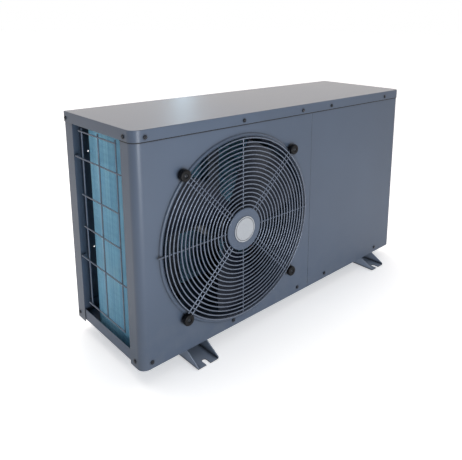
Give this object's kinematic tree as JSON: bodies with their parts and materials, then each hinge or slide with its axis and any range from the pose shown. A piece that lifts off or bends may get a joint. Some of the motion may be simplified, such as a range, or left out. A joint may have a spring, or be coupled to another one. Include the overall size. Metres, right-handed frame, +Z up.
{
  "type": "pool heat pump",
  "caption": "Horizontal pool heat pump in a sheet-metal case: guarded axial fan, finned air coil, compressor, water exchanger with unions, keypad under a hinged window.",
  "frame": {"origin": "ground level under the middle of the case", "axes": "+Z up, fan grille faces -Y, +X towards the service end, water connections face +Y"},
  "size_m": [0.9404, 0.368, 0.55],
  "materials": {
    "case_paint": "satin powder coat, slate grey",
    "guard_wire": "grey coated steel wire",
    "screw_steel": "zinc-plated steel",
    "black_plastic": "moulded black plastic",
    "badge_silver": "plain silver disc",
    "fan_plastic": "dark moulded plastic",
    "galvanised": "galvanised sheet",
    "motor_grey": "painted steel",
    "fin_blue": "blue hydrophilic coated fins",
    "copper": "bare copper tube",
    "brass_valve": "brass and copper valve bodies",
    "black_enamel": "black enamel",
    "rubber_mount": "rubber",
    "pvc_grey": "grey PVC",
    "titanium": "titanium tube",
    "board_green": "circuit board",
    "terminal_cream": "moulded terminal strip",
    "key_plate_grey": "matt plastic face",
    "display_glass": "dark display window",
    "key_silver": "moulded keys",
    "window_smoke": "smoked clear plastic"
  },
  "bodies": {
    "case": {"top_cover": "case_paint", "base_pan": "case_paint", "fan_panel": "case_paint", "service_panel": "case_paint", "end_panel": "case_paint", "rear_post": "case_paint", "fan_duct": "case_paint", "guard_hub_disc": "case_paint", "foot_rail_left": "case_paint", "foot_rail_right": "case_paint", "guard_rings": "guard_wire", "guard_spokes": "guard_wire", "side_guard": "guard_wire", "rear_guard": "guard_wire", "case_screws": "screw_steel", "foot_bolts": "screw_steel", "motor_bearings": "screw_steel", "window_pin": "screw_steel", "guard_caps": "black_plastic", "cable_glands": "black_plastic", "control_tray": "black_plastic", "drain_nipple": "black_plastic", "compressor_cover": "black_plastic", "flow_switch": "black_plastic", "union_nuts": "black_plastic", "hub_badge": "badge_silver", "motor_bracket": "galvanised", "partition": "galvanised", "electric_box": "galvanised", "electric_cover": "galvanised", "coil_end_plates": "galvanised", "fan_motor": "motor_grey", "motor_stator": "motor_grey", "coil_fins": "fin_blue", "coil_tubes": "copper", "refrigerant_pipes": "copper", "reversing_valve": "brass_valve", "expansion_valve": "brass_valve", "compressor": "black_enamel", "accumulator": "black_enamel", "compressor_mounts": "rubber_mount", "support_blocks": "rubber_mount", "exchanger_shell": "pvc_grey", "exchanger_caps": "pvc_grey", "water_fittings": "pvc_grey", "pipe_sockets": "pvc_grey", "exchanger_coil": "titanium", "control_board": "board_green", "terminal_block": "terminal_cream", "key_plate": "key_plate_grey", "control_display": "display_glass"},
    "fan": {"fan_blade": "fan_plastic", "fan_nut": "screw_steel", "fan_shaft": "screw_steel", "motor_rotor": "motor_grey"},
    "window": {"control_window": "window_smoke"},
    "key_1": {"key_1": "key_silver"},
    "key_2": {"key_2": "key_silver"},
    "key_3": {"key_3": "key_silver"},
    "key_4": {"key_4": "key_silver"}
  },
  "joints": [
    {"name": "fan_spin", "type": "hinge", "parent": "case", "child": "fan", "pos_m": [-0.191, -0.102, 0.279], "axis": [0, 1, 0], "continuous": true},
    {"name": "window_hinge", "type": "hinge", "parent": "case", "child": "window", "pos_m": [0.4643, -0.005, 0.4934], "axis": [0, -1, 0], "range_deg": [0, 110]},
    {"name": "key_1_press", "type": "slide", "parent": "case", "child": "key_1", "axis": [-1, 0, 0], "range_m": [0, 0.001], "stiffness_N_per_m": 600, "springref_m": -0.0005},
    {"name": "key_2_press", "type": "slide", "parent": "case", "child": "key_2", "axis": [-1, 0, 0], "range_m": [0, 0.001], "stiffness_N_per_m": 600, "springref_m": -0.0005},
    {"name": "key_3_press", "type": "slide", "parent": "case", "child": "key_3", "axis": [-1, 0, 0], "range_m": [0, 0.001], "stiffness_N_per_m": 600, "springref_m": -0.0005},
    {"name": "key_4_press", "type": "slide", "parent": "case", "child": "key_4", "axis": [-1, 0, 0], "range_m": [0, 0.001], "stiffness_N_per_m": 600, "springref_m": -0.0005}
  ]
}
